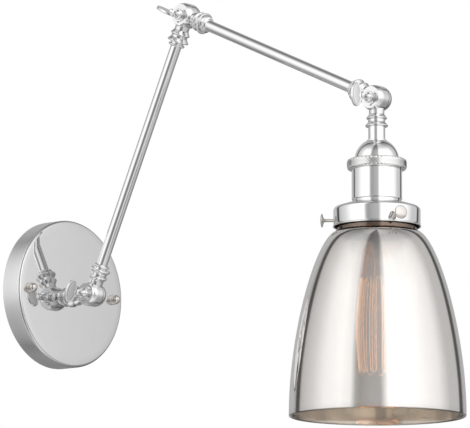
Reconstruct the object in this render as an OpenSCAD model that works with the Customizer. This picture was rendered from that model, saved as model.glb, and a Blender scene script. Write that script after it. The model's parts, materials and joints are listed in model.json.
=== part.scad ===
// Swing arm wall sconce: a round back plate, two arms on three friction knuckles
// and a lamp head with a bell shade. The origin is the centre of the plate's back face, on the wall.
// The wall is the plane y = 0, +Z is up and the arms reach out towards -Y. Every knuckle turns about X.

/* [Back plate] */
// Diameter of the back plate
plate_d = 114.3; // [110:0.1:130]
// Depth of the back plate, wall to face
plate_depth = 18.4; // [16:0.1:24]
// Sheet thickness of the back plate
plate_wall = 1.2; // [1:0.1:1.6]
// Distance between the two cap nuts
stud_spacing = 92; // [88:0.5:94]
// Drop of the base knuckle below the middle of the plate
base_drop = 2.2; // [0:0.1:3]

/* [Wall bracket] */
// Length of the bracket strip
bracket_length = 103; // [101:0.5:106]
// Width of the bracket strip
bracket_width = 19; // [18:0.5:24]
// Thickness of the bracket strip
bracket_thick = 2; // [1.6:0.1:2.4]
// Distance between the two box screw slots
box_screw_spacing = 69.85; // [68:0.05:71]
// Width of a box screw slot
slot_width = 4.8; // [4.6:0.1:5.2]
// End to end length of a box screw slot
slot_length = 8; // [7:0.1:9]
// Diameter of the tapped hole in the middle of the bracket
centre_hole_d = 9.8; // [9:0.1:10.2]

/* [Arms] */
// Lower arm, knuckle centre to knuckle centre
lower_length = 227; // [180:1:260]
// Upper arm, knuckle centre to knuckle centre
upper_length = 206; // [160:1:240]
// Lean of the lower arm out from the wall
lower_lean = 25.3; // [10:0.1:60]
// Droop of the upper arm below level
upper_droop = 25; // [0:0.5:40]
// Outer diameter of the arm tubes
tube_d = 8.5; // [8:0.1:9]
// Wall thickness of the arm tubes
tube_wall = 1; // [0.8:0.1:1.2]

/* [Knuckles] */
// Radius of a knuckle ball
ball_r = 9.45; // [9.2:0.05:10]
// Length of the straight barrel between the two half balls
barrel = 5.2; // [5:0.1:6]
// Gap between the two halves of a knuckle
seam_gap = 0.4; // [0.35:0.05:0.5]
// Distance from a knuckle's centre to the end of its collar
collar_end = 21; // [20.5:0.1:22]
// Diameter of the thumb screw's thread
pivot_d = 4.2; // [4:0.1:4.4]
// Length of the thumb screw's wing along the screw
wing_length = 10.8; // [10:0.1:12]
// Width of the wing across the screw
wing_width = 17.6; // [16:0.1:19]
// Thickness of the wing
wing_thick = 2.2; // [2:0.1:3]
// Turn of the base, middle and end wings about the knuckle axis
wing_turns = [18, 120, 0]; // [0:1:180]

/* [Lamp holder] */
// Diameter of the short stem above the socket cap
stem_d = 12.3; // [12:0.1:13]
// Distance from the end knuckle's centre to the top of the socket cap
cap_top = 30.7; // [30.4:0.1:31]
// Radius of the domed socket cap
cap_r = 16.1; // [15.8:0.1:16.4]
// Diameter of the knurled ring
ring_d = 42.8; // [42.5:0.1:44]
// Height of the knurled ring
ring_height = 7.3; // [7:0.1:7.6]
// Diameter of the socket shell
shell_d = 36.4; // [36.2:0.1:36.4]

/* [Gallery and shade] */
// Diameter of the gallery that holds the shade
gallery_d = 62.8; // [62:0.1:64]
// Distance from the end knuckle's centre to the gallery's lower edge
gallery_bottom = 94.5; // [94:0.1:95]
// Turn of the first gallery screw about the head's axis
gallery_screw_turn = 115.6; // [100:0.1:130]
// Outer diameter of the glass shade at its rim
shade_d = 127; // [120:0.5:134]
// Distance from the end knuckle's centre to the shade's rim
shade_rim = 231.4; // [225:0.1:240]
// Outer diameter of the shade's neck
shade_neck_d = 57.2; // [57:0.1:57.6]
// Thickness of the glass
glass_wall = 2.4; // [2:0.1:3]

/* [Bulb] */
// Diameter of the tubular bulb
bulb_d = 37; // [36:0.5:38]
// Distance from the end knuckle's centre to the bulb's round end
bulb_end = 212; // [208:0.5:216]
// Number of filament threads
threads = 20; // [12:2:24]
// Radius of the filament cage
cage_r = 13.6; // [12:0.1:14]

/* [Hidden] */
$fn = 64;
fit = 0.05;             // radial clearance of a screwed or pressed joint that holds still
run = 0.1;              // radial clearance where something turns or slides
half = barrel / 2;
near_face = half - seam_gap / 2 + 0.1;
far_face = near_face + seam_gap;
neck_r = 5.6;
neck_bore_r = 3.4;
bead_start = 11.6;
boss_face = half + 5;   // flat on the near half for the tab washer
washer_r = 5.4;
washer_thick = 1.2;
chamber_r = 6.6;        // hollow inside a knuckle for the conductors
core_r = 3.6;           // metal left round the pivot screw
tube_start = 13.2;      // how near to the knuckle's centre an arm tube reaches
wire_r = 0.8;
wire_side = 1.15;
wire_way_x = 4.2;       // where the conductors pass the far half of a knuckle
plate_r = plate_d / 2;
nipple_r = 5.15;
nipple_in = 9;
nipple_out = 7.6;
stud_r = 2.08;
ring_top = 45;
ring_bottom = ring_top + ring_height;
shell_r = shell_d / 2;
shell_bottom = 74.5;
sleeve_r = 16.6;        // threaded sleeve under the shell
sleeve_bottom = 84.5;
gallery_r = gallery_d / 2;
gallery_wall = 0.8;
gallery_top = 76.7;
ring_seat = gallery_top + gallery_wall;
screw_level = 88.9;     // height of the gallery screws below the end knuckle
shade_shoulder = 97.2;  // where the glass turns from neck to bell
shade_top = 86.2;
base_top = 61.5;        // upper edge of the bulb's screw cap
cage_top = 134;
cage_bottom = 198;
glass_end_z = bulb_end - bulb_d / 2;
base_y = -(plate_depth + collar_end);
slot_run = slot_length - slot_width;
ground_x = 20;          // where the ground screw stands on the bracket
ground_r = 2.4;
insulator_r = 5.1;

// Points of an arc in a flat outline.
function arc(x, y, r, from, to, n = 6) =
    [for (i = [0 : n]) let (a = from + (to - from) * i / n) [x + r * cos(a), y + r * sin(a)]];

// A cubic curve through a, d with handles b, c, and the direction it runs in.
function curve(a, b, c, d, t) =
    pow(1 - t, 3) * a + 3 * pow(1 - t, 2) * t * b + 3 * (1 - t) * t * t * c + pow(t, 3) * d;
function heading(a, b, c, d, t) =
    3 * pow(1 - t, 2) * (b - a) + 6 * (1 - t) * t * (c - b) + 3 * t * t * (d - c);

// ---- Places ----

// Local z runs out from the wall, local y runs up.
module on_wall() {
    rotate([90, 0, 0]) children();
}

// The base knuckle's centre, with z along the plate's stem towards the wall.
module at_stem() {
    translate([0, base_y, -base_drop]) rotate([-90, 0, 0]) children();
}

// The base knuckle's centre, with z along the lower arm.
module at_lower() {
    translate([0, base_y, -base_drop]) rotate([lower_lean, 0, 0]) children();
}

// The middle knuckle's centre, with z along the upper arm.
module at_upper() {
    at_lower() translate([0, 0, lower_length]) rotate([90 + upper_droop - lower_lean, 0, 0]) children();
}

// The end knuckle's centre, with z straight down the head.
module at_head() {
    at_upper() translate([0, 0, upper_length]) rotate([90 - upper_droop, 0, 0]) children();
}

// The far end of an arm, with z back along the arm.
module at_tip(length) {
    translate([0, 0, length]) rotate([180, 0, 0]) children();
}

// ---- Shapes used more than once ----

// A cylinder along x from one place to another.
module along_x(r, from, to) {
    translate([from, 0, 0]) rotate([0, 90, 0]) cylinder(r = r, h = to - from);
}

// A round wire through a list of points.
module wire(points, r) {
    for (i = [0 : len(points) - 2]) {
        step = points[i + 1] - points[i];
        translate(points[i])
            rotate([0, acos(step.z / norm(step)), atan2(step.y, step.x)])
            cylinder(r = r, h = norm(step), $fn = 24);
    }
    for (i = [1 : 1 : len(points) - 2]) translate(points[i]) sphere(r = r * 1.12, $fn = 24);
}

// A six-sided nut on z.
module hex_nut(across, height, bore_r) {
    difference() {
        cylinder(r = across / 2 / cos(30), h = height, $fn = 6);
        translate([0, 0, -1]) cylinder(r = bore_r, h = height + 2);
    }
}

// Two turned beads on a knuckle's neck, each flaring away from the ball.
module collar() {
    rotate_extrude() polygon(concat(
        [[neck_bore_r, bead_start - 1], [neck_r, bead_start - 1], [neck_r, bead_start]],
        arc(6.7, 14.6, 0.8, -40, 90),
        [[6.25, 15.7], [6.25, 17.4]],
        arc(7.5, collar_end - 0.8, 0.8, -45, 90),
        [[neck_bore_r, collar_end]]
    ));
}

// The near half of a knuckle: a half ball, the barrel, the boss for the thumb screw and the neck on z.
// end_bore_r is the socket for the tube or nipple that plugs into the neck.
module near_half(end_bore_r) {
    difference() {
        union() {
            difference() {
                union() {
                    translate([-half, 0, 0]) sphere(r = ball_r);
                    cylinder(r = neck_r, h = bead_start);
                }
                translate([near_face, -15, -15]) cube(30);
                translate([-30 - boss_face, -15, -15]) cube(30);
                along_x(ball_r + 0.35, near_face, 20);
                along_x(chamber_r, -5, 9);
            }
            difference() {
                along_x(ball_r, -half, near_face);
                along_x(chamber_r, -5, 9);
            }
            difference() {
                translate([0, 0, ball_r - 1.5]) cylinder(r = neck_r, h = bead_start - ball_r + 1.5);
                along_x(ball_r - 1, -20, near_face);
                along_x(ball_r + 0.35, near_face, 20);
            }
            along_x(core_r, -boss_face, near_face);
            collar();
        }
        along_x(pivot_d / 2 + run, -20, 20);
        translate([0, 0, core_r + 0.6]) cylinder(r = neck_bore_r, h = 30);
        translate([0, 0, tube_start]) cylinder(r = end_bore_r, h = 30);
    }
}

// The far half of a knuckle: the half ball with the blind thread and the neck on z.
module far_half(end_bore_r) {
    difference() {
        union() {
            difference() {
                union() {
                    translate([half, 0, 0]) sphere(r = ball_r);
                    cylinder(r = neck_r, h = bead_start);
                }
                translate([far_face - 30, -15, -15]) cube([30, 30, 15 + ball_r + 0.35]);
                along_x(ball_r + 0.35, -20, far_face);
                along_x(chamber_r, -9, 6.4);
            }
            along_x(core_r, far_face, 10);
            collar();
        }
        along_x(pivot_d / 2 + fit, -20, 9.4);
        translate([0, 0, ball_r + 0.35]) cylinder(r = neck_bore_r, h = 30);
        translate([0, 0, tube_start]) cylinder(r = end_bore_r, h = 30);
        for (side = [-1, 1]) {
            translate([wire_way_x, side * wire_side, core_r + 0.8]) cylinder(r = 1.05, h = 9.2, $fn = 24);
        }
        translate([1.5, -wire_side - 1.05, ball_r + 0.35]) cube([wire_way_x - 1.5, 2 * wire_side + 2.1, 3.6]);
    }
}

// A flat washer with a small tab that keeps it from turning with the screw.
module tab_washer() {
    difference() {
        union() {
            along_x(washer_r, -boss_face - washer_thick, -boss_face);
            translate([-boss_face - washer_thick, -0.8, -washer_r - 0.9]) cube([washer_thick, 1.6, 2]);
        }
        along_x(pivot_d / 2 + run, -20, 0);
    }
}

// The thin ring that drags between the two halves.
module friction_washer() {
    difference() {
        along_x(ball_r - 0.6, far_face - 0.3, far_face);
        along_x(chamber_r, 0, 5);
    }
}

// Thumb screw: thread, collar, shoulder and an oval wing.
module thumb_screw(turn) {
    head = boss_face + washer_thick;
    wing_start = head + 9;
    along_x(pivot_d / 2, -head - 0.5, 9);
    along_x(4.2, -head - 1.6, -head);
    along_x(2.8, -wing_start - 0.8, -head);
    rotate([turn, 0, 0])
        translate([-wing_start - wing_length / 2, wing_thick / 2, 0])
        rotate([90, 0, 0])
        linear_extrude(wing_thick)
        polygon([for (a = [0 : 10 : 350]) [wing_length / 2 * cos(a), wing_width / 2 * sin(a)]]);
}

// An arm tube between two knuckles.
module arm_tube(length) {
    translate([0, 0, tube_start]) difference() {
        cylinder(d = tube_d, h = length - 2 * tube_start);
        translate([0, 0, -1]) cylinder(r = tube_d / 2 - tube_wall, h = length);
    }
}

// The small ring that trims the end of a collar on an arm tube.
module arm_ring() {
    rotate_extrude() polygon(concat(
        [[tube_d / 2 + fit, collar_end], [5, collar_end], [5, collar_end + 1.3], [5.7, collar_end + 1.4]],
        arc(5.6, collar_end + 2.4, 0.8, -60, 60),
        [[5, collar_end + 3.6], [tube_d / 2 + fit, collar_end + 3.6]]
    ));
}

// ---- Plate, bracket and what they hold ----

module wall_bracket() color("silver") on_wall() difference() {
    translate([-bracket_length / 2, -bracket_width / 2, 0])
        cube([bracket_length, bracket_width, bracket_thick]);
    translate([0, 0, -1]) cylinder(d = centre_hole_d, h = 5);
    for (side = [-1, 1]) {
        translate([side * stud_spacing / 2, 0, -1]) cylinder(r = stud_r + fit, h = 5);
        translate([side * box_screw_spacing / 2, 0, -1]) {
            for (end = [-1, 1])
                translate([end * slot_run / 2, 0, 0]) cylinder(d = slot_width, h = 5);
            translate([-slot_run / 2, -slot_width / 2, 0]) cube([slot_run, slot_width, 5]);
        }
    }
    translate([ground_x, 0, -1]) cylinder(r = ground_r + fit, h = 5);
}

module ground_screw() color("green") on_wall() translate([ground_x, 0, 0]) {
    translate([0, 0, 0.1]) cylinder(r = ground_r, h = bracket_thick);
    difference() {
        translate([0, 0, bracket_thick]) cylinder(r = 4.2, h = 2.4);
        translate([-5, -0.5, bracket_thick + 1.4]) cube([10, 1, 2]);
    }
}

module bracket_studs() color("silver") on_wall() for (side = [-1, 1]) {
    translate([side * stud_spacing / 2, 0, 0.1]) cylinder(r = stud_r, h = plate_depth + 4.6);
}

module stud_nuts() color("silver") on_wall() for (side = [-1, 1]) {
    translate([side * stud_spacing / 2, 0, bracket_thick]) hex_nut(8.7, 3.2, stud_r + fit);
}

module back_plate() {
    edge = 2.4;
    color("gainsboro") on_wall() difference() {
        rotate_extrude($fn = 128) polygon(concat(
            [[plate_r, 0]],
            arc(plate_r - edge, plate_depth - edge, edge, 0, 90, 8),
            [[0, plate_depth], [0, plate_depth - plate_wall]],
            arc(plate_r - edge, plate_depth - edge, edge - plate_wall, 90, 0, 8),
            [[plate_r - plate_wall, 0]]
        ));
        translate([0, -base_drop, 0]) cylinder(r = nipple_r + fit, h = 30);
        for (side = [-1, 1]) translate([side * stud_spacing / 2, 0, 0]) cylinder(r = 2.4, h = 30);
    }
}

module cap_nuts() color("rosybrown") on_wall() for (side = [-1, 1]) {
    translate([side * stud_spacing / 2, 0, plate_depth]) difference() {
        union() {
            cylinder(r = 4, h = 2.4);
            translate([0, 0, 3.1]) sphere(r = 3.5);
        }
        translate([0, 0, -1]) cylinder(r = stud_r + fit, h = 6);
    }
}

module base_nipple() color("goldenrod") on_wall() translate([0, -base_drop, plate_depth - nipple_in]) {
    difference() {
        cylinder(r = nipple_r, h = nipple_in + nipple_out);
        translate([0, 0, -1]) cylinder(r = 3.3, h = 30);
    }
}

module nipple_washer() color("silver") on_wall() {
    translate([0, -base_drop, plate_depth - plate_wall - 0.8]) difference() {
        cylinder(r = 7.6, h = 0.8);
        translate([0, 0, -1]) cylinder(r = nipple_r + fit, h = 3);
    }
}

module nipple_locknut() color("goldenrod") on_wall() {
    translate([0, -base_drop, plate_depth - plate_wall - 3.2]) hex_nut(14.3, 2.4, nipple_r + fit);
}

// A conductor from the base knuckle through the nipple to a connector inside the plate.
module supply_lead(side) {
    knuckle = plate_depth + collar_end;
    x = side > 0 ? 2 : -1.5;
    y = side > 0 ? -1.2 : -0.2;
    on_wall() wire([
        [wire_way_x, -side * wire_side - base_drop, knuckle - 5.4],
        [wire_way_x, -side * wire_side - base_drop, knuckle - 10.8],
        [x, y - base_drop, knuckle - 13],
        [x, y - base_drop, 8.5],
        [side * 12, -16, 8.5],
        [side * 17.4, -23, 8.5]
    ], wire_r);
}

module lead_hot() color("black") supply_lead(1);

module lead_neutral() color("white") supply_lead(-1);

module lead_ground() color("green") on_wall() wire([
    [-0.4, 2.1 - base_drop, plate_depth + collar_end - 10.4],
    [-0.4, 2.1 - base_drop, 6.4],
    [15, 1, 6.4],
    [20, 0, 5.4]
], wire_r);

module wire_nuts() color("orange") on_wall() for (side = [-1, 1]) {
    length = 17;
    translate([side * 17.4, -23, 8.5]) rotate([90, 0, side * 38]) difference() {
        cylinder(r1 = 5.2, r2 = 3.4, h = length);
        translate([0, 0, -1]) cylinder(r = 3, h = length - 3);
    }
}

module base_knuckle() color("gainsboro") at_stem() far_half(nipple_r + fit);

// ---- Knuckle hardware ----

module base_tab_washer() color("silver") at_lower() tab_washer();

module base_friction_washer() color("dimgray") at_lower() friction_washer();

module base_thumb_screw() color("gainsboro") at_lower() thumb_screw(wing_turns[0] - lower_lean);

module middle_tab_washer() color("silver") at_lower() translate([0, 0, lower_length]) tab_washer();

module middle_friction_washer() color("dimgray") at_upper() friction_washer();

module middle_thumb_screw() {
    color("gainsboro") at_upper() thumb_screw(wing_turns[1] - 90 - upper_droop);
}

module end_tab_washer() color("silver") at_head() rotate([180, 0, 0]) tab_washer();

module end_friction_washer() color("dimgray") at_head() friction_washer();

module end_thumb_screw() color("gainsboro") at_head() thumb_screw(wing_turns[2]);

// ---- Lower arm ----

module lower_arm_root() color("gainsboro") at_lower() near_half(tube_d / 2 + fit);

module lower_arm_tube() color("gainsboro") at_lower() arm_tube(lower_length);

module lower_arm_rings() color("gainsboro") at_lower() {
    arm_ring();
    at_tip(lower_length) arm_ring();
}

module lower_arm_tip() {
    color("gainsboro") at_lower() at_tip(lower_length) near_half(tube_d / 2 + fit);
}

module lower_arm_wires() color("dimgray") at_lower() for (side = [-1, 1]) {
    wire([[0, side * wire_side, 5.4], [0, side * wire_side, lower_length - 5.4]], wire_r);
}

// ---- Upper arm ----

module upper_arm_root() color("gainsboro") at_upper() far_half(tube_d / 2 + fit);

module upper_arm_tube() color("gainsboro") at_upper() arm_tube(upper_length);

module upper_arm_rings() color("gainsboro") at_upper() {
    arm_ring();
    at_tip(upper_length) arm_ring();
}

module upper_arm_tip() {
    color("gainsboro") at_upper() at_tip(upper_length) far_half(tube_d / 2 + fit);
}

module upper_arm_wires() color("dimgray") at_upper() for (side = [-1, 1]) {
    wire([
        [wire_way_x, side * wire_side, 5.4],
        [wire_way_x, side * wire_side, 10.8],
        [0, side * wire_side, 15.5],
        [0, side * wire_side, upper_length - 15.5],
        [wire_way_x, side * wire_side, upper_length - 10.8],
        [wire_way_x, side * wire_side, upper_length - 5.4]
    ], wire_r);
}

// ---- Lamp holder ----

module head_knuckle() color("gainsboro") at_head() near_half(4.2 + fit);

module head_stem() color("gainsboro") at_head() difference() {
    union() {
        translate([0, 0, tube_start]) cylinder(r = 4.2, h = 10);
        translate([0, 0, collar_end]) cylinder(d = stem_d, h = cap_top - collar_end);
        translate([0, 0, cap_top - 1]) cylinder(r = 4.9, h = 8.3);
    }
    cylinder(r = 2.6, h = 50);
}

// Domed cap with a small seat for the stem and a flange that the knurled ring pulls down.
module socket_cap() color("gainsboro") at_head() {
    centre = ring_top + 0.6;
    difference() {
        union() {
            intersection() {
                translate([0, 0, centre]) sphere(r = cap_r);
                translate([-30, -30, cap_top + 0.3]) cube([60, 60, centre - cap_top - 0.3]);
            }
            translate([0, 0, cap_top]) cylinder(r = 7.2, h = 1.6);
            translate([0, 0, centre]) cylinder(r = cap_r, h = 0.6);
            translate([0, 0, ring_top + 1.2]) cylinder(r = shell_r - fit, h = 1.2);
        }
        cylinder(r = 4.9 + fit, h = 60);
        intersection() {
            translate([0, 0, centre]) sphere(r = cap_r - 1);
            translate([-30, -30, cap_top + 3.3]) cube([60, 60, centre - cap_top - 3.3]);
        }
        translate([0, 0, centre - 0.01]) cylinder(r = cap_r - 1, h = 5);
    }
}

module cap_locknut() color("goldenrod") at_head() {
    translate([0, 0, cap_top + 3.3]) hex_nut(14, 2.6, 4.9 + fit);
}

module socket_ring() color("gainsboro") at_head() rotate_extrude() polygon([
    [cap_r + fit, ring_top],
    [ring_d / 2 - 1, ring_top],
    [ring_d / 2, ring_top + 0.9],
    [ring_d / 2, ring_bottom - 0.6],
    [ring_d / 2 - 0.6, ring_bottom],
    [shell_r + fit, ring_bottom],
    [shell_r + fit, ring_top + 1.2],
    [cap_r + fit, ring_top + 1.2]
]);

module socket_shell() color("gainsboro") at_head() rotate_extrude() polygon([
    [shell_r, ring_top + 2.4],
    [shell_r, shell_bottom - 0.4],
    [shell_r - 0.4, shell_bottom],
    [sleeve_r, shell_bottom],
    [sleeve_r, sleeve_bottom],
    [sleeve_r - 0.9, sleeve_bottom],
    [sleeve_r - 0.9, shell_bottom - 0.9],
    [shell_r - 0.9, shell_bottom - 0.9],
    [shell_r - 0.9, ring_top + 2.4]
]);

// Insulating body: a thick disc with a sleeve round the screw shell.
module socket_body() color("ivory") at_head() difference() {
    union() {
        translate([0, 0, 48]) cylinder(r = shell_r - 1.1, h = 9.9);
        translate([0, 0, 57]) cylinder(r = sleeve_r - 1.1, h = 27);
    }
    translate([0, 0, 57.9]) cylinder(r = 14, h = 40);
    translate([0, 0, 55.4]) cylinder(r = 4, h = 10);
    for (side = [-1, 1]) translate([side * 9, 0, 40]) cylinder(r = 1.5 + fit, h = 13.2);
}

module terminal_screws() color("goldenrod") at_head() for (side = [-1, 1]) {
    translate([side * 9, 0, 48]) {
        cylinder(r = 1.5, h = 5);
        difference() {
            translate([0, 0, -1.8]) cylinder(r = 2.6, h = 1.8);
            translate([-3, -0.3, -2.5]) cube([6, 0.6, 1.5]);
        }
    }
}

module screw_shell() color("goldenrod") at_head() rotate_extrude() polygon([
    [6, 58.5], [13.9, 58.5], [13.9, 82], [13.35, 82], [13.35, 59.1], [6, 59.1]
]);

module centre_contact() color("goldenrod") at_head() {
    translate([0, 0, 55.5]) cylinder(r = 1.6, h = 1.6);
    translate([0, 0, 57]) cylinder(r = 2.8, h = 0.6);
}

module head_wires() color("dimgray") at_head() for (side = [-1, 1]) {
    wire([
        [0, side * wire_side, 5.4],
        [0, side * wire_side, 39.5],
        [side * 6, side * 0.6, 43],
        [side * 9, 0, 45.1]
    ], wire_r);
}

// ---- Gallery and shade ----

module shade_gallery() color("gainsboro") at_head() difference() {
    rotate_extrude($fn = 96) polygon(concat(
        [[sleeve_r + fit, gallery_top], [20.5, gallery_top], [gallery_r - 3, gallery_top + 2.8]],
        arc(gallery_r - 3, gallery_top + 5.8, 3, -90, 0),
        [
            [gallery_r, gallery_bottom - 1.6],
            [gallery_r + 0.5, gallery_bottom - 1],
            [gallery_r + 0.5, gallery_bottom],
            [gallery_r - 0.3, gallery_bottom],
            [gallery_r - gallery_wall, gallery_bottom - 1.2]
        ],
        arc(gallery_r - 3, gallery_top + 5.8, 3 - gallery_wall, 0, -90),
        [[20.4, ring_seat], [sleeve_r + fit, ring_seat]]
    ));
    for (i = [0 : 2]) {
        rotate([0, 0, gallery_screw_turn - 120 * i])
            translate([0, 0, screw_level])
            along_x(1.2 + run, 25, 40);
    }
}

module gallery_ring() color("goldenrod") at_head() translate([0, 0, ring_seat]) difference() {
    cylinder(r = 20, h = 2.8);
    translate([0, 0, -1]) cylinder(r = sleeve_r + fit, h = 5);
}

// A screw with a flat round head, pointing in at the shade's neck.
module gallery_screw(i) {
    color("rosybrown") at_head()
        rotate([0, 0, gallery_screw_turn - 120 * i])
        translate([0, 0, screw_level]) {
            along_x(1.2, shade_neck_d / 2 + 0.3, 39.5);
            along_x(5, 39, 41);
        }
}

module gallery_screw_front() gallery_screw(0);

module gallery_screw_side() gallery_screw(1);

module gallery_screw_wall() gallery_screw(2);

// Bell shade: a straight neck with a bead at its top, then one long curve down to the rim.
module glass_shade() {
    top = [shade_neck_d / 2, shade_shoulder];
    shoulder = [shade_neck_d / 2 + 14.6, shade_shoulder + 1.3];
    flank = [shade_d / 2, shade_rim - 62];
    rim = [shade_d / 2, shade_rim - glass_wall / 2];
    steps = 26;
    outside = [for (i = [0 : steps]) curve(top, shoulder, flank, rim, i / steps)];
    inside = [for (i = [steps : -1 : 1])
        let (way = heading(top, shoulder, flank, rim, i / steps))
        curve(top, shoulder, flank, rim, i / steps) + glass_wall / norm(way) * [-way.y, way.x]];
    color("lightgray", 0.5) at_head() rotate_extrude($fn = 128) polygon(concat(
        [[top.x, shade_top + 1.4]],
        outside,
        arc(rim.x - glass_wall / 2, rim.y, glass_wall / 2, 20, 160),
        inside,
        [[top.x - glass_wall, shade_shoulder + 3.2], [top.x - glass_wall, shade_top]],
        [[top.x, shade_top], [top.x + 0.7, shade_top + 0.7]]
    ));
}

// ---- Bulb ----

module bulb_cap() color("goldenrod") at_head() rotate_extrude() polygon([
    [5.2, base_top], [10.5, base_top], [13.05, base_top + 2.5], [13.05, 84],
    [12.55, 84], [12.55, base_top + 2.8], [10.2, base_top + 0.5], [5.2, base_top + 0.5]
]);

module bulb_insulator() color("black") at_head() {
    translate([0, 0, base_top - 2]) cylinder(r1 = 3.6, r2 = insulator_r, h = 2);
    translate([0, 0, base_top]) cylinder(r = insulator_r, h = 1.5);
}

module bulb_contact() color("silver") at_head() translate([0, 0, 57.9]) cylinder(r1 = 1.8, r2 = 2.5, h = 1.6);

module bulb_glass() {
    r = bulb_d / 2;
    wall = 0.8;
    neck = [12.4, 86];
    shoulder = [r, 100];
    color("lightyellow", 0.4) at_head() rotate_extrude() polygon(concat(
        [[neck.x, 78]],
        [for (i = [0 : 8]) curve(neck, neck + [0, 6], shoulder - [0, 7], shoulder, i / 8)],
        arc(0, glass_end_z, r, 0, 90, 12),
        arc(0, glass_end_z, r - wall, 90, 0, 12),
        [for (i = [8 : -1 : 0]) curve(neck, neck + [0, 6], shoulder - [0, 7], shoulder, i / 8) - [wall, 0]],
        [[neck.x - wall, 78]]
    ));
}

// Glass flare and the rod that carries the hooks.
module bulb_stem() color("lightyellow") at_head() rotate_extrude() polygon([
    [0, 78], [11.4, 78], [11.4, 80], [5, 90], [3.2, 106],
    [1.5, 112], [1.5, cage_bottom + 2], [0, cage_bottom + 2]
]);

module bulb_leads() color("silver") at_head() for (thread_angle = [0, -360 / threads]) {
    rotate([0, 0, thread_angle]) wire([[5.4, 0, 92], [cage_r, 0, cage_top - 1.2]], 0.4);
}

module bulb_hooks() color("silver") at_head() {
    for (i = [0 : threads - 1]) {
        rotate([0, 0, 360 / threads * i])
            translate([0, 0, i % 2 == 0 ? cage_top : cage_bottom])
            along_x(0.25, 1.6, cage_r - 0.5);
    }
}

// One thread led up and down round the cage.
module filament() {
    path = [for (i = [0 : threads - 1])
        let (a = 360 / threads * i)
        [cage_r * cos(a), cage_r * sin(a), i % 2 == 0 ? cage_top : cage_bottom]];
    color("orangered") at_head() wire(path, 0.35);
}

wall_bracket();
ground_screw();
bracket_studs();
stud_nuts();
back_plate();
cap_nuts();
base_nipple();
nipple_washer();
nipple_locknut();
lead_hot();
lead_neutral();
lead_ground();
wire_nuts();
base_knuckle();
base_tab_washer();
base_friction_washer();
base_thumb_screw();
lower_arm_root();
lower_arm_tube();
lower_arm_rings();
lower_arm_tip();
lower_arm_wires();
middle_tab_washer();
middle_friction_washer();
middle_thumb_screw();
upper_arm_root();
upper_arm_tube();
upper_arm_rings();
upper_arm_tip();
upper_arm_wires();
end_tab_washer();
end_friction_washer();
end_thumb_screw();
head_knuckle();
head_stem();
socket_cap();
cap_locknut();
socket_ring();
socket_shell();
socket_body();
terminal_screws();
screw_shell();
centre_contact();
head_wires();
shade_gallery();
gallery_ring();
gallery_screw_front();
gallery_screw_wall();
gallery_screw_side();
glass_shade();
bulb_cap();
bulb_insulator();
bulb_contact();
bulb_glass();
bulb_stem();
bulb_leads();
bulb_hooks();
filament();
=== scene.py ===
import json
import math

import bpy
from mathutils import Matrix, Vector


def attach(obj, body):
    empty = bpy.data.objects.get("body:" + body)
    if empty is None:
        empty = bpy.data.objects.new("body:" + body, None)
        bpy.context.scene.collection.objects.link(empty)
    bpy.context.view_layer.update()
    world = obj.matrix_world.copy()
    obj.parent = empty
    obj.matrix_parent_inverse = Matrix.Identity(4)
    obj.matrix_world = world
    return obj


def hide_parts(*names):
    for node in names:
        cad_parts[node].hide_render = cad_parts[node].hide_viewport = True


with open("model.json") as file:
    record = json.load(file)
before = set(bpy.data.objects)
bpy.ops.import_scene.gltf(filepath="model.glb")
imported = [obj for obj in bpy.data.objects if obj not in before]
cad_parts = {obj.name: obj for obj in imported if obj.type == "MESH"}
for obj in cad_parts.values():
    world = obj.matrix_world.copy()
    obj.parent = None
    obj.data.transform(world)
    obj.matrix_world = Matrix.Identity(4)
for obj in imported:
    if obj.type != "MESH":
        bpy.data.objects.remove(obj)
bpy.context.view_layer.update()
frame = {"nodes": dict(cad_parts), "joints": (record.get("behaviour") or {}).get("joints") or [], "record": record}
mm = 0.001
nodes = frame["nodes"]
joints = {joint["name"]: joint for joint in frame["joints"]}
print("frame loaded:", len(nodes), "nodes")

# Where the three knuckles are. Everything on the head is measured straight down from the end knuckle.
basePoint = Vector(joints["base_pivot"]["pos_m"])
middlePoint = Vector(joints["middle_pivot"]["pos_m"])
endPoint = Vector(joints["head_pivot"]["pos_m"])


# ---------- camera, light and floor

cameraSetup = {
    "aim": (0.02752, -0.16197, 0.05112),
    "azimuth": -48.43,      # degrees, 0 looks along +Y
    "elevation": -8.96,
    "roll": 0.17,
    "distance": 2.77515,
    "lens": 281.3,
}

studio = {
    "floorHeight": -0.75,
    "floorRadius": 4.0,
    "floorColor": (0.90, 0.90, 0.89, 1),
    "evenLight": (0.95, 0.95, 0.95),
    # brightness round the horizon, by degrees to the right of the camera's own direction
    "horizon": [(-180, 0.48), (-145, 0.56), (-137, 0.42), (-133, 0.07), (-126, 0.08), (-121, 0.55), (-96, 0.78),
                (-76, 1.12), (-52, 1.25), (-38, 1.10), (-31, 0.46), (-25, 0.36), (-13, 0.44), (2, 0.50), (8, 1.0),
                (13, 1.45), (34, 1.40), (60, 1.25), (86, 1.04), (97, 0.80), (106, 0.62), (128, 0.60), (133, 0.08),
                (140, 0.09), (147, 0.5), (180, 0.48)],
    # and how that falls off by the sine of the height above the horizon
    "height": [(-1.0, 0.70), (-0.8, 0.66), (-0.5, 0.50), (-0.22, 0.58), (-0.06, 0.88), (0.1, 1.0), (0.55, 1.0),
               (0.72, 0.88), (0.84, 0.60), (0.94, 0.42), (1.0, 0.50)],
}


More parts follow.
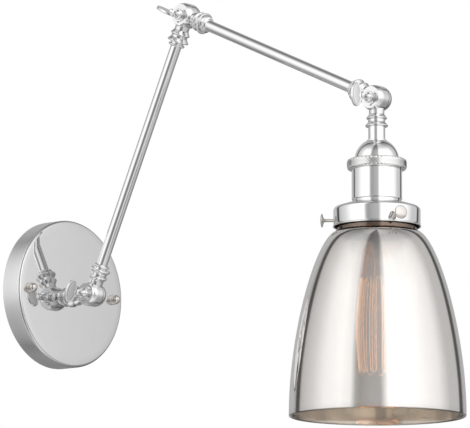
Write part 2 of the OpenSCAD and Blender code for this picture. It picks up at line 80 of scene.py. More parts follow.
def setCamera():
    azimuth = math.radians(cameraSetup["azimuth"])
    elevation = math.radians(cameraSetup["elevation"])
    right = Vector((math.cos(azimuth), math.sin(azimuth), 0))
    level = math.cos(elevation)
    back = Vector((math.sin(azimuth) * level, -math.cos(azimuth) * level, math.sin(elevation)))
    up = back.cross(right)
    turn = Matrix((right, up, back)).transposed() @ Matrix.Rotation(math.radians(cameraSetup["roll"]), 3, "Z")
    bpy.ops.object.camera_add(location=Vector(cameraSetup["aim"]) + back * cameraSetup["distance"])
    camera = bpy.context.active_object
    camera.rotation_euler = turn.to_euler()
    camera.data.lens = cameraSetup["lens"]
    camera.data.sensor_width = 36
    camera.data.clip_end = 50
    bpy.context.scene.camera = camera


def fillRamp(node, stops):
    ramp = node.color_ramp
    for place, value in stops[1:-1]:
        ramp.elements.new(place)
    for element, (place, value) in zip(ramp.elements, stops):
        element.position = place
        element.color = (value, value, value, 1)


# A soft studio all round: bright panels left and right of the camera, darker behind it and overhead.
def setStudio():
    world = bpy.data.worlds.new("softStudio")
    bpy.context.scene.world = world
    world.use_nodes = True
    tree = world.node_tree
    tree.nodes.clear()
    make, link = tree.nodes.new, tree.links.new
    place = make("ShaderNodeTexCoord")
    turn = make("ShaderNodeMapping")
    turn.inputs["Rotation"].default_value = (0, 0, math.radians(90 - cameraSetup["azimuth"]))
    split = make("ShaderNodeSeparateXYZ")
    link(place.outputs["Generated"], turn.inputs["Vector"])
    link(turn.outputs["Vector"], split.inputs["Vector"])
    angle = make("ShaderNodeMath")
    angle.operation = "ARCTAN2"
    link(split.outputs["Y"], angle.inputs[0])
    link(split.outputs["X"], angle.inputs[1])
    around = make("ShaderNodeMapRange")
    around.inputs["From Min"].default_value = -math.pi
    around.inputs["From Max"].default_value = math.pi
    link(angle.outputs[0], around.inputs["Value"])
    horizon = make("ShaderNodeValToRGB")
    fillRamp(horizon, [((degrees + 180) / 360, value) for degrees, value in studio["horizon"]])
    link(around.outputs["Result"], horizon.inputs["Fac"])
    above = make("ShaderNodeMapRange")
    above.inputs["From Min"].default_value = -1
    link(split.outputs["Z"], above.inputs["Value"])
    height = make("ShaderNodeValToRGB")
    fillRamp(height, [((sine + 1) / 2, value) for sine, value in studio["height"]])
    link(above.outputs["Result"], height.inputs["Fac"])
    light = make("ShaderNodeMix")
    light.data_type = "RGBA"
    light.blend_type = "MULTIPLY"
    light.inputs["Factor"].default_value = 1
    link(horizon.outputs["Color"], light.inputs["A"])
    link(height.outputs["Color"], light.inputs["B"])
    paths = make("ShaderNodeLightPath")
    backdrop = make("ShaderNodeMix")
    backdrop.data_type = "RGBA"
    backdrop.inputs["B"].default_value = (1, 1, 1, 1)
    link(paths.outputs["Is Camera Ray"], backdrop.inputs["Factor"])
    # matt surfaces get an even light, so the ramps only shape the reflections
    even = make("ShaderNodeMix")
    even.data_type = "RGBA"
    even.inputs["B"].default_value = opaque(studio["evenLight"])
    link(paths.outputs["Is Diffuse Ray"], even.inputs["Factor"])
    link(light.outputs["Result"], even.inputs["A"])
    link(even.outputs["Result"], backdrop.inputs["A"])
    glow = make("ShaderNodeBackground")
    link(backdrop.outputs["Result"], glow.inputs["Color"])
    link(glow.outputs["Background"], make("ShaderNodeOutputWorld").inputs["Surface"])


def setFloor():
    bpy.ops.mesh.primitive_circle_add(vertices=96, radius=studio["floorRadius"], fill_type="NGON",
                                      location=(0, -0.2, studio["floorHeight"]))
    floor = bpy.context.active_object
    floor.name = "floor"
    material = bpy.data.materials.new("paleFloor")
    material.use_nodes = True
    surface = material.node_tree.nodes["Principled BSDF"]
    surface.inputs["Base Color"].default_value = studio["floorColor"]
    surface.inputs["Roughness"].default_value = 0.7
    floor.data.materials.append(material)
    floor.visible_glossy = False
    floor.visible_transmission = False


# ---------- shader groups

def newGroup(name, inputs, outputs):
    group = bpy.data.node_groups.new(name, "ShaderNodeTree")
    for label, kind, value in inputs:
        socket = group.interface.new_socket(label, in_out="INPUT", socket_type=kind)
        socket.default_value = value
    for label, kind in outputs:
        group.interface.new_socket(label, in_out="OUTPUT", socket_type=kind)
    return group, group.nodes.new("NodeGroupInput"), group.nodes.new("NodeGroupOutput")


def addMath(tree, operation, first, second, third=None):
    node = tree.nodes.new("ShaderNodeMath")
    node.operation = operation
    for index, value in enumerate((first, second, third)):
        if value is None:
            continue
        if isinstance(value, (int, float)):
            node.inputs[index].default_value = value
        else:
            tree.links.new(value, node.inputs[index])
    return node.outputs[0]


# Polished metal: cloudy tone, faint buffing lines and a few handling marks.
def polishedMetalGroup():
    group, given, made = newGroup("polishedMetal", [
        ("Tone", "NodeSocketColor", (0.8, 0.8, 0.8, 1)),
        ("Shade", "NodeSocketColor", (0.7, 0.7, 0.7, 1)),
        ("Roughness", "NodeSocketFloat", 0.05),
        ("Spread", "NodeSocketFloat", 0.05),
        ("Marks", "NodeSocketFloat", 0.1),
        ("Scale", "NodeSocketFloat", 60.0),
    ], [("Color", "NodeSocketColor"), ("Roughness", "NodeSocketFloat"), ("Height", "NodeSocketFloat")])
    make, link = group.nodes.new, group.links.new
    place = make("ShaderNodeTexCoord")
    clouds = make("ShaderNodeTexNoise")
    clouds.inputs["Detail"].default_value = 3
    link(place.outputs["Object"], clouds.inputs["Vector"])
    link(given.outputs["Scale"], clouds.inputs["Scale"])
    stretch = make("ShaderNodeMapping")
    stretch.inputs["Scale"].default_value = (60, 60, 1100)
    link(place.outputs["Object"], stretch.inputs["Vector"])
    lines = make("ShaderNodeTexNoise")
    lines.inputs["Scale"].default_value = 1.0
    lines.inputs["Detail"].default_value = 2
    link(stretch.outputs["Vector"], lines.inputs["Vector"])
    marks = make("ShaderNodeTexVoronoi")
    marks.feature = "DISTANCE_TO_EDGE"
    marks.inputs["Scale"].default_value = 90
    bent = make("ShaderNodeMix")
    bent.data_type = "VECTOR"
    bent.inputs["Factor"].default_value = 0.06
    link(place.outputs["Object"], bent.inputs["A"])
    link(clouds.outputs["Color"], bent.inputs["B"])
    link(bent.outputs["Result"], marks.inputs["Vector"])
    scratch = addMath(group, "LESS_THAN", marks.outputs["Distance"], 0.012)
    mix = make("ShaderNodeMix")
    mix.data_type = "RGBA"
    link(clouds.outputs["Fac"], mix.inputs["Factor"])
    link(given.outputs["Tone"], mix.inputs["A"])
    link(given.outputs["Shade"], mix.inputs["B"])
    link(mix.outputs["Result"], made.inputs["Color"])
    rough = addMath(group, "MULTIPLY_ADD", clouds.outputs["Fac"], given.outputs["Spread"], given.outputs["Roughness"])
    rough = addMath(group, "MULTIPLY_ADD", scratch, given.outputs["Marks"], rough)
    link(rough, made.inputs["Roughness"])
    height = addMath(group, "MULTIPLY_ADD", scratch, -0.4, lines.outputs["Fac"])
    link(height, made.inputs["Height"])
    return group


# Moulded or glazed surface: mottled colour with a fine pebble.
def mouldedGroup():
    group, given, made = newGroup("mouldedSurface", [
        ("Tone", "NodeSocketColor", (0.8, 0.8, 0.8, 1)),
        ("Shade", "NodeSocketColor", (0.7, 0.7, 0.7, 1)),
        ("Roughness", "NodeSocketFloat", 0.4),
        ("Spread", "NodeSocketFloat", 0.1),
        ("Scale", "NodeSocketFloat", 300.0),
    ], [("Color", "NodeSocketColor"), ("Roughness", "NodeSocketFloat"), ("Height", "NodeSocketFloat")])
    make, link = group.nodes.new, group.links.new
    place = make("ShaderNodeTexCoord")
    mottle = make("ShaderNodeTexNoise")
    mottle.inputs["Detail"].default_value = 5
    link(place.outputs["Object"], mottle.inputs["Vector"])
    link(given.outputs["Scale"], mottle.inputs["Scale"])
    pebble = make("ShaderNodeTexVoronoi")
    link(place.outputs["Object"], pebble.inputs["Vector"])
    link(addMath(group, "MULTIPLY", given.outputs["Scale"], 6.0), pebble.inputs["Scale"])
    mix = make("ShaderNodeMix")
    mix.data_type = "RGBA"
    link(mottle.outputs["Fac"], mix.inputs["Factor"])
    link(given.outputs["Tone"], mix.inputs["A"])
    link(given.outputs["Shade"], mix.inputs["B"])
    link(mix.outputs["Result"], made.inputs["Color"])
    link(addMath(group, "MULTIPLY_ADD", mottle.outputs["Fac"], given.outputs["Spread"], given.outputs["Roughness"]),
         made.inputs["Roughness"])
    link(addMath(group, "MULTIPLY_ADD", pebble.outputs["Distance"], 0.5, mottle.outputs["Fac"]), made.inputs["Height"])
    return group


# Worn edges and painted shade: a wear mask that is strongest where the surface turns sharply, and a painted-shade mask
# (Hollow) that is strongest in hollows and grooves.
def edgeWearAndShadeGroup():
    group, given, made = newGroup("edgeWearAndShade", [
        ("Reach", "NodeSocketFloat", 0.06),
        ("Break Up", "NodeSocketFloat", 400.0),
    ], [("Mask", "NodeSocketFloat"), ("Hollow", "NodeSocketFloat")])
    make, link = group.nodes.new, group.links.new
    geometry = make("ShaderNodeNewGeometry")
    place = make("ShaderNodeTexCoord")
    patches = make("ShaderNodeTexNoise")
    link(place.outputs["Object"], patches.inputs["Vector"])
    link(given.outputs["Break Up"], patches.inputs["Scale"])
    sharp = addMath(group, "SUBTRACT", geometry.outputs["Pointiness"], 0.5)
    sharp = addMath(group, "DIVIDE", sharp, given.outputs["Reach"])
    worn = addMath(group, "MULTIPLY", sharp, patches.outputs["Fac"])
    limit = make("ShaderNodeClamp")
    link(worn, limit.inputs["Value"])
    link(limit.outputs["Result"], made.inputs["Mask"])
    deep = make("ShaderNodeClamp")
    link(addMath(group, "MULTIPLY", sharp, -1.0), deep.inputs["Value"])
    link(deep.outputs["Result"], made.inputs["Hollow"])
    return group


groups = {}


def newMaterial(name):
    material = bpy.data.materials.new(name)
    material.use_nodes = True
    return material, material.node_tree, material.node_tree.nodes["Principled BSDF"]


def placeGroup(tree, key, values):
    node = tree.nodes.new("ShaderNodeGroup")
    node.node_tree = groups[key]
    for label, value in values.items():
        node.inputs[label].default_value = value
    return node


def addBump(tree, surface, height, strength, distance):
    bump = tree.nodes.new("ShaderNodeBump")
    bump.inputs["Strength"].default_value = strength
    bump.inputs["Distance"].default_value = distance
    tree.links.new(height, bump.inputs["Height"])
    tree.links.new(bump.outputs["Normal"], surface.inputs["Normal"])


def opaque(color):
    return (*color, 1)


metalFinishes = {
    "chrome": {"tone": (0.94, 0.94, 0.945), "shade": (0.90, 0.90, 0.905),
               "rough": 0.02, "spread": 0.03, "marks": 0.02, "bump": 0.002},
    "turnedChrome": {"tone": (0.94, 0.94, 0.945), "shade": (0.88, 0.88, 0.885),
                     "rough": 0.11, "spread": 0.04, "marks": 0.03, "bump": 0.002},
    # the plate's face is the same chrome painted darker: painted shade for its dimmer reflection
    "plateChromeShaded": {"tone": (0.72, 0.72, 0.718), "shade": (0.68, 0.68, 0.678),
                    "rough": 0.03, "spread": 0.02, "marks": 0.01, "bump": 0.001},
    "satinChrome": {"tone": (0.86, 0.86, 0.858), "shade": (0.82, 0.82, 0.818),
                    "rough": 0.32, "spread": 0.04, "marks": 0.02, "bump": 0.002},
    # the knurled ring gets strong painted shade in its grooves
    "knurledChrome": {"tone": (0.93, 0.93, 0.92), "shade": (0.84, 0.84, 0.83),
                      "rough": 0.18, "spread": 0.1, "marks": 0.1, "bump": 0.02,
                      "paintedHollowShade": 0.7},
    # inside of the gallery: bare brass, painted dark brown as the shade inside the cup
    "innerBrassAndShade": {"tone": (0.30, 0.22, 0.17), "shade": (0.22, 0.155, 0.12),
                   "rough": 0.22, "spread": 0.15, "marks": 0.1, "bump": 0.02},
    "warm_nickel": {"tone": (0.78, 0.745, 0.715), "shade": (0.66, 0.62, 0.59),
                    "rough": 0.1, "spread": 0.08, "marks": 0.06, "bump": 0.006},
    "zinc_steel": {"tone": (0.66, 0.68, 0.70), "shade": (0.52, 0.54, 0.58),
                   "rough": 0.28, "spread": 0.2, "marks": 0.15, "bump": 0.1},
    "brass": {"tone": (0.83, 0.66, 0.36), "shade": (0.70, 0.52, 0.26),
              "rough": 0.2, "spread": 0.15, "marks": 0.1, "bump": 0.05},
    "green_screw": {"tone": (0.06, 0.36, 0.14), "shade": (0.03, 0.24, 0.09),
                    "rough": 0.25, "spread": 0.15, "marks": 0.1, "bump": 0.05},
    "solder": {"tone": (0.70, 0.71, 0.72), "shade": (0.52, 0.53, 0.55),
               "rough": 0.3, "spread": 0.2, "marks": 0.1, "bump": 0.2},
    "bright_wire": {"tone": (0.80, 0.76, 0.68), "shade": (0.66, 0.60, 0.52),
                    "rough": 0.2, "spread": 0.1, "marks": 0.0, "bump": 0.02},
}

mouldedFinishes = {
    "black_insulation": {"tone": (0.02, 0.02, 0.022), "shade": (0.05, 0.05, 0.052),
                         "rough": 0.35, "spread": 0.2, "scale": 500, "bump": 0.1},
    "white_insulation": {"tone": (0.82, 0.81, 0.78), "shade": (0.70, 0.69, 0.65),
                         "rough": 0.35, "spread": 0.2, "scale": 500, "bump": 0.1},
    "green_insulation": {"tone": (0.05, 0.30, 0.10), "shade": (0.03, 0.20, 0.07),
                         "rough": 0.35, "spread": 0.2, "scale": 500, "bump": 0.1},
    "clear_insulation": {"tone": (0.62, 0.60, 0.52), "shade": (0.48, 0.45, 0.38),
                         "rough": 0.25, "spread": 0.15, "scale": 500, "bump": 0.1},
    "connector": {"tone": (0.85, 0.33, 0.04), "shade": (0.70, 0.25, 0.03),
                  "rough": 0.4, "spread": 0.15, "scale": 350, "bump": 0.25},
    "fibre": {"tone": (0.05, 0.045, 0.04), "shade": (0.09, 0.08, 0.07),
              "rough": 0.6, "spread": 0.2, "scale": 900, "bump": 0.4},
    "porcelain": {"tone": (0.86, 0.84, 0.78), "shade": (0.79, 0.76, 0.69),
                  "rough": 0.12, "spread": 0.12, "scale": 220, "bump": 0.12},
    "black_glass": {"tone": (0.012, 0.012, 0.016), "shade": (0.03, 0.03, 0.035),
                    "rough": 0.08, "spread": 0.1, "scale": 400, "bump": 0.1},
}


def metalMaterial(name, finish):
    material, tree, surface = newMaterial(name)
    skin = placeGroup(tree, "polish", {
        "Tone": opaque(finish["tone"]), "Shade": opaque(finish["shade"]),
        "Roughness": finish["rough"], "Spread": finish["spread"], "Marks": finish["marks"],
    })
    wearAndShade = placeGroup(tree, "wearAndShade", {})
    surface.inputs["Metallic"].default_value = 1
    rubbed = addMath(tree, "MULTIPLY_ADD", wearAndShade.outputs["Mask"], 0.06, skin.outputs["Roughness"])
    # painted shade: hollows and grooves, such as the knurl's valleys, are mixed towards dark grey
    paintedHollowShade = tree.nodes.new("ShaderNodeMix")
    paintedHollowShade.data_type = "RGBA"
    tree.links.new(addMath(tree, "MULTIPLY", wearAndShade.outputs["Hollow"], finish.get("paintedHollowShade", 0.1)), paintedHollowShade.inputs["Factor"])
    tree.links.new(skin.outputs["Color"], paintedHollowShade.inputs["A"])
    paintedHollowShade.inputs["B"].default_value = opaque((0.16, 0.155, 0.15))
    tree.links.new(paintedHollowShade.outputs["Result"], surface.inputs["Base Color"])
    tree.links.new(rubbed, surface.inputs["Roughness"])
    addBump(tree, surface, skin.outputs["Height"], finish["bump"], 0.0002)
    return material


def mouldedMaterial(name, finish):
    material, tree, surface = newMaterial(name)
    skin = placeGroup(tree, "moulded", {
        "Tone": opaque(finish["tone"]), "Shade": opaque(finish["shade"]),
        "Roughness": finish["rough"], "Spread": finish["spread"], "Scale": finish["scale"],
    })
    tree.links.new(skin.outputs["Color"], surface.inputs["Base Color"])
    tree.links.new(skin.outputs["Roughness"], surface.inputs["Roughness"])
    addBump(tree, surface, skin.outputs["Height"], finish["bump"], 0.0002)
    return material


glassFinishes = {
    # the plated outside of the shade mirrors most of the room; its inside shows the warm glass
    "platedSmoke": {"tone": (0.97, 0.96, 0.95), "shade": (0.93, 0.91, 0.89),
                    "rough": 0.01, "spread": 0.015, "metallic": 0.76},
    "smokedInside": {"tone": (0.92, 0.84, 0.75), "shade": (0.88, 0.79, 0.68),
                     "rough": 0.03, "spread": 0.03, "metallic": 0.32},
    # the neck, which sits inside the gallery, is painted dark brown: painted shade from the gallery round it
    "neckPaintedShade": {"tone": (0.34, 0.26, 0.21), "shade": (0.26, 0.19, 0.15),
                   "rough": 0.06, "spread": 0.03, "metallic": 0.6},
    "bulb_glass": {"tone": (1.0, 0.95, 0.86), "shade": (0.98, 0.90, 0.78),
                   "rough": 0.0, "spread": 0.01, "metallic": 0.0},
    "stem_glass": {"tone": (0.97, 0.97, 0.95), "shade": (0.92, 0.92, 0.90),
                   "rough": 0.02, "spread": 0.02, "metallic": 0.0},
}


def glassMaterial(name, finish):
    material, tree, surface = newMaterial(name)
    skin = placeGroup(tree, "moulded", {
        "Tone": opaque(finish["tone"]), "Shade": opaque(finish["shade"]),
        "Roughness": finish["rough"], "Spread": finish["spread"], "Scale": 25,
    })
    surface.inputs["Metallic"].default_value = finish["metallic"]
    surface.inputs["Transmission Weight"].default_value = 1
    surface.inputs["IOR"].default_value = 1.47
    tree.links.new(skin.outputs["Color"], surface.inputs["Base Color"])
    tree.links.new(skin.outputs["Roughness"], surface.inputs["Roughness"])
    addBump(tree, surface, skin.outputs["Height"], 0.02, 0.001)
    return material


filamentFinish = {"tone": (0.75, 0.25, 0.06), "shade": (0.55, 0.16, 0.04), "glow": (1.0, 0.70, 0.34), "strength": 3.3}


def filamentMaterial(name):
    material, tree, surface = newMaterial(name)
    skin = placeGroup(tree, "moulded", {
        "Tone": opaque(filamentFinish["tone"]), "Shade": opaque(filamentFinish["shade"]),
        "Roughness": 0.5, "Spread": 0.1, "Scale": 120,
    })
    glow = tree.nodes.new("ShaderNodeMix")
    glow.data_type = "RGBA"
    glow.blend_type = "MULTIPLY"
    glow.inputs["Factor"].default_value = 0.4
    glow.inputs["A"].default_value = opaque(filamentFinish["glow"])
    tree.links.new(skin.outputs["Color"], glow.inputs["B"])
    tree.links.new(skin.outputs["Color"], surface.inputs["Base Color"])
    tree.links.new(skin.outputs["Roughness"], surface.inputs["Roughness"])
    tree.links.new(glow.outputs["Result"], surface.inputs["Emission Color"])
    surface.inputs["Emission Strength"].default_value = filamentFinish["strength"]
    return material


finishes = {}


def makeFinishes():
    groups["polish"] = polishedMetalGroup()
    groups["moulded"] = mouldedGroup()
    groups["wearAndShade"] = edgeWearAndShadeGroup()
    for name, finish in metalFinishes.items():
        finishes[name] = metalMaterial(name, finish)
    for name, finish in mouldedFinishes.items():
        finishes[name] = mouldedMaterial(name, finish)
    for name, finish in glassFinishes.items():
        finishes[name] = glassMaterial(name, finish)
    finishes["filament"] = filamentMaterial("filament")
    finishes["smoked_glass"] = finishes["platedSmoke"]
    # small turned chrome is a little softer than the large spun pieces
    small = ("_knuckle", "_root", "_tip", "_rings", "_washer")
    for row in frame["record"]["subparts"]:
        turned = row["material_slot"] == "chrome" and row["node"].endswith(small)
        paint(nodes[row["node"]], finishes["turnedChrome" if turned else row["material_slot"]])


def paint(piece, *materials):
    piece.data.materials.clear()
    for material in materials:
        piece.data.materials.append(material)


# ---------- modelling helpers

def deselectAll():
    for thing in bpy.context.selected_objects:
        thing.select_set(False)


def pick(piece):
    deselectAll()
    piece.select_set(True)
    bpy.context.view_layer.objects.active = piece


def edit(piece, mode="VERT"):
    pick(piece)
    bpy.ops.object.mode_set(mode="EDIT")
    bpy.ops.mesh.select_mode(type=mode)


def leaveEdit():
    bpy.ops.object.mode_set(mode="OBJECT")


# A chain of edges drawn from point to point, as by extruding one vertex.
def drawChain(name, points, closed=False):
    deselectAll()
    bpy.ops.mesh.primitive_plane_add(size=0.001, location=(0, 0, 0))
    chain = bpy.context.active_object
    chain.name = name
    bpy.ops.object.mode_set(mode="EDIT")
    bpy.ops.mesh.select_mode(type="VERT")
    bpy.ops.mesh.select_all(action="SELECT")
    bpy.ops.mesh.merge(type="CENTER")
    last = Vector(points[0])
    bpy.ops.transform.translate(value=last)
    for point in points[1:]:
        step = Vector(point) - last
        bpy.ops.mesh.extrude_region_move(TRANSFORM_OT_translate={"value": step})
        last = Vector(point)
    if closed:
        bpy.ops.mesh.select_all(action="SELECT")
        bpy.ops.mesh.remove_doubles(threshold=1e-7)
        leaveEdit()
        vertices = chain.data.vertices
        ends = (Vector(points[0]), Vector(points[-1]))
        for vertex in vertices:
            vertex.select = min((vertex.co - end).length for end in ends) < 1e-7
        for edge in chain.data.edges:
            edge.select = False
        bpy.ops.object.mode_set(mode="EDIT")
        bpy.ops.mesh.edge_face_add()
    leaveEdit()
    return chain


# Turns an outline of (radius, distance) points about an axis through the origin along Z.
def turnOutline(name, outline, steps=96, closed=True):
    piece = drawChain(name, [(radius, 0, distance) for radius, distance in outline], closed)
    edit(piece)
    bpy.ops.mesh.select_all(action="SELECT")
    bpy.ops.mesh.spin(steps=steps, angle=2 * math.pi, center=(0, 0, 0), axis=(0, 0, 1))
    bpy.ops.mesh.select_all(action="SELECT")
    bpy.ops.mesh.remove_doubles(threshold=1e-6)
    bpy.ops.mesh.dissolve_degenerate(threshold=1e-7)
    bpy.ops.mesh.select_all(action="SELECT")
    bpy.ops.mesh.normals_make_consistent(inside=False)
    leaveEdit()
    smooth(piece)
    return piece


def smooth(piece, degrees=32):
    pick(piece)
    bpy.ops.object.shade_smooth_by_angle(angle=math.radians(degrees))


def settle(piece, matrix):
    pick(piece)
    piece.matrix_world = matrix
    bpy.ops.object.transform_apply(location=True, rotation=True, scale=True)


def copyOf(piece, name):
    pick(piece)
    bpy.ops.object.duplicate()
    copy = bpy.context.active_object
    copy.name = name
    return copy


def joined(name, *pieces):
    pick(pieces[0])
    for piece in pieces:
        piece.select_set(True)
    bpy.ops.object.join()
    pieces[0].name = name
    return pieces[0]


def applyModifiers(piece):
    pick(piece)
    for modifier in list(piece.modifiers):
        bpy.ops.object.modifier_apply(modifier=modifier.name)


# A round wire along points, thickened as a curve and made a mesh again.
def drawWire(name, points, radius, sides=2):
    wire = drawChain(name, points)
    pick(wire)
    bpy.ops.object.convert(target="CURVE")
    wire = bpy.context.active_object
    wire.data.bevel_depth = radius
    wire.data.bevel_resolution = sides
    wire.data.use_fill_caps = True
    bpy.ops.object.convert(target="MESH")
    wire = bpy.context.active_object
    wire.name = name
    smooth(wire, 50)
    return wire


def arc(x, y, radius, start, end, steps=8):
    angles = [math.radians(start + (end - start) * i / steps) for i in range(steps + 1)]
    return [(x + radius * math.cos(a), y + radius * math.sin(a)) for a in angles]


def mixCurve(a, b, c, d, t):
    return (1 - t) ** 3 * a + 3 * (1 - t) ** 2 * t * b + 3 * (1 - t) * t * t * c + t ** 3 * d


def curveHeading(a, b, c, d, t):
    return 3 * (1 - t) ** 2 * (b - a) + 6 * (1 - t) * t * (c - b) + 3 * t * t * (d - c)


# The head hangs straight down, so its pieces are drawn upright and turned over onto the end knuckle.
headPlace = Matrix.Translation(endPoint) @ Matrix.Rotation(math.pi, 4, "X")


def finishPiece(piece, body, slot, *replaced):
    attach(piece, body)
    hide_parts(*replaced)
    print("made", piece.name)


# ---------- glass shade

shadeSpec = {
    "neckRadius": 28.6, "top": 86.2, "shoulder": 97.2, "rimRadius": 63.5, "rim": 231.4,
    "wall": 2.4, "shoulderReach": 14.6, "flankLength": 62, "steps": 40,
}


def makeShade():
    s = shadeSpec
    top = Vector((s["neckRadius"], s["shoulder"]))
    shoulder = top + Vector((s["shoulderReach"], 1.3))
    rim = Vector((s["rimRadius"], s["rim"] - s["wall"] / 2))
    flank = Vector((s["rimRadius"], s["rim"] - s["flankLength"]))
    outside, inside = [], []
    for i in range(s["steps"] + 1):
        t = (i / s["steps"]) ** 1.15
        point = mixCurve(top, shoulder, flank, rim, t)
        way = curveHeading(top, shoulder, flank, rim, t).normalized()
        outside.append(tuple(point))
        if i > 1:
            inside.append(tuple(point + Vector((-way.y, way.x)) * s["wall"]))
    inside.reverse()
    lip = arc(s["rimRadius"] - s["wall"] / 2, s["rim"] - s["wall"] / 2, s["wall"] / 2, 20, 160, 8)
    neckInside = s["neckRadius"] - s["wall"]
    outline = [(s["neckRadius"], s["top"] + 1.6)]
    outline += outside + lip + inside
    outline += [(neckInside, s["shoulder"] + 3.2), (neckInside, s["top"] + 0.4)]
    outline += arc(neckInside + 0.8, s["top"] + 0.8, 0.8, 200, 270, 3)
    outline += arc(s["neckRadius"] - 0.1, s["top"] + 0.8, 0.8, -90, 30, 5)
    shade = turnOutline("glass_shade_bell", [(r * mm, d * mm) for r, d in outline], 144)
    paint(shade, finishes["platedSmoke"], finishes["smokedInside"], finishes["neckPaintedShade"])
    for face in shade.data.polygons:
        outward = Vector((face.center.x, face.center.y, 0)).normalized()
        atRim = face.center.z > (s["rim"] - 0.9) * mm
        # the neck above the shoulder gets the painted shade; inner faces and the rim get the warm inside glass
        if face.center.z < (s["shoulder"] + 0.25) * mm:
            face.material_index = 2
        elif face.normal.dot(outward) < 0 or atRim:
            face.material_index = 1
    settle(shade, headPlace)
    finishPiece(shade, "head", "smoked_glass", "glass_shade")


# ---------- knurled ring

ringSpec = {"outer": 21.4, "inner": 18.25, "capRadius": 16.15, "top": 45.0, "bottom": 52.3, "lip": 1.2,
            "around": 108, "rows": 6, "depth": 0.42}


def makeRing():
    r = ringSpec
    low, high = r["top"] + 0.75, r["bottom"] - 0.55
    face = r["outer"] - r["depth"] * 0.5
    outline = [(r["capRadius"], r["top"] + r["lip"]), (r["capRadius"], r["top"]), (r["outer"] - 1.2, r["top"]),
               (r["outer"] - 0.45, r["top"] + 0.35)]
    outline += [(face, low + (high - low) * i / r["rows"]) for i in range(r["rows"] + 1)]
    outline += [(r["outer"] - 0.45, r["bottom"] - 0.25), (r["outer"] - 0.9, r["bottom"]),
                (r["inner"], r["bottom"]), (r["inner"], r["top"] + r["lip"])]
    ring = turnOutline("socket_ring_knurled", [(x * mm, z * mm) for x, z in outline], r["around"])
    edit(ring)
    bpy.ops.mesh.select_all(action="DESELECT")
    leaveEdit()
    rowHeight = (high - low) / r["rows"]
    # every other point of the grid stands out, which makes the diamonds
    for vertex in ring.data.vertices:
        across = math.hypot(vertex.co.x, vertex.co.y) / mm
        row = (vertex.co.z / mm - low) / rowHeight
        if abs(across - face) < 0.02 and 0.5 < row < r["rows"] - 0.5:
            column = math.atan2(vertex.co.y, vertex.co.x) / (2 * math.pi) * r["around"]
            vertex.select = (round(row) + round(column)) % 2 == 0
    bpy.ops.object.mode_set(mode="EDIT")
    bpy.ops.transform.shrink_fatten(value=r["depth"] * mm)
    leaveEdit()
    smooth(ring, 12)
    paint(ring, finishes["knurledChrome"])
    settle(ring, headPlace)
    finishPiece(ring, "head", "chrome", "socket_ring")


# ---------- gallery and its screws

gallerySpec = {"radius": 31.4, "top": 76.7, "bottom": 94.5, "corner": 3.0, "wall": 0.8, "bore": 16.65, "flange": 20.5,
               "slope": 2.8, "lip": 0.5}


def makeGallery():
    g = gallerySpec
    centre = g["radius"] - g["corner"]
    level = g["top"] + g["slope"] + g["corner"]
    outline = [(g["bore"], g["top"]), (g["flange"] - 0.6, g["top"]), (g["flange"], g["top"] + 0.15)]
    outline += arc(centre, level, g["corner"], -82, 0, 10)
    outline += [(g["radius"], g["bottom"] - 1.9), (g["radius"] + 0.15, g["bottom"] - 1.45)]
    outline += arc(g["radius"], g["bottom"] - 0.7, g["lip"], -40, 90, 6)
    outline += [(g["radius"] - 0.45, g["bottom"] - 0.45), (g["radius"] - g["wall"], g["bottom"] - 1.6)]
    outline += arc(centre, level, g["corner"] - g["wall"], 0, -80, 8)
    outline += [(g["flange"] - 0.2, g["top"] + g["wall"]), (g["bore"], g["top"] + g["wall"])]
    gallery = turnOutline("gallery_cup", [(r * mm, d * mm) for r, d in outline], 144)
    paint(gallery, finishes["chrome"], finishes["innerBrassAndShade"])
    # the inside faces of the cup get the brass with painted shade
    for face in gallery.data.polygons:
        outward = Vector((face.center.x, face.center.y, 0)).normalized()
        within = (g["top"] + g["wall"] * 0.5) * mm < face.center.z < (g["bottom"] - 0.5) * mm
        if within and (face.normal.dot(outward) < -0.2 or face.normal.z > 0.3):
            face.material_index = 1
    settle(gallery, headPlace)
    finishPiece(gallery, "head", "chrome", "shade_gallery")


galleryScrewSpec = {"level": 88.9, "shaft": 1.2, "tip": 28.9, "headStart": 38.6, "head": 5.0, "end": 41.0,
                    "threadPitch": 0.7, "threadDepth": 0.22,
                    "turns": {"front": 115.6, "side": -4.4, "wall": -124.4}}


def makeGalleryScrews():
    g = galleryScrewSpec
    outline = [(0, g["tip"]), (g["shaft"] - 0.4, g["tip"]), (g["shaft"] - 0.05, g["tip"] + 0.35)]
    along = g["tip"] + 0.5
    while along < g["headStart"] - 1.6:
        outline += [(g["shaft"], along), (g["shaft"] - g["threadDepth"], along + g["threadPitch"] / 2)]
        along += g["threadPitch"]
    outline += [(g["shaft"], along), (g["shaft"], g["headStart"] - 0.6), (g["shaft"] + 0.4, g["headStart"] - 0.15),
                (g["head"] * 0.6, g["headStart"] + 0.3), (g["head"] - 0.35, g["headStart"] + 0.8)]
    outline += arc(g["head"] - 0.4, g["headStart"] + 1.2, 0.4, -70, 75, 5)
    outline += [(g["head"] * 0.72, g["end"] - 0.38), (g["head"] * 0.45, g["end"] - 0.14),
                (g["head"] * 0.2, g["end"] - 0.03),
                (0, g["end"])]
    master = turnOutline("galleryScrewMaster", [(r * mm, d * mm) for r, d in outline], 40, closed=False)
    for name, degrees in g["turns"].items():
        screw = copyOf(master, "gallery_thumb_" + name)
        lift = Matrix.Translation((0, 0, g["level"] * mm))
        aim = Matrix.Rotation(math.radians(degrees), 4, "Z") @ Matrix.Rotation(math.pi / 2, 4, "Y")
        settle(screw, headPlace @ lift @ aim)
        paint(screw, finishes["warm_nickel"])
        finishPiece(screw, name + "_gallery_screw", "warm_nickel", "gallery_screw_" + name)
    bpy.data.objects.remove(master)


# ---------- back plate and its cap nuts

plateSpec = {"radius": 57.15, "depth": 18.4, "edge": 2.4, "wall": 1.2, "crown": 0.5, "drop": 2.2, "nippleHole": 5.2,
             "studHole": 2.4, "studs": 46.0}


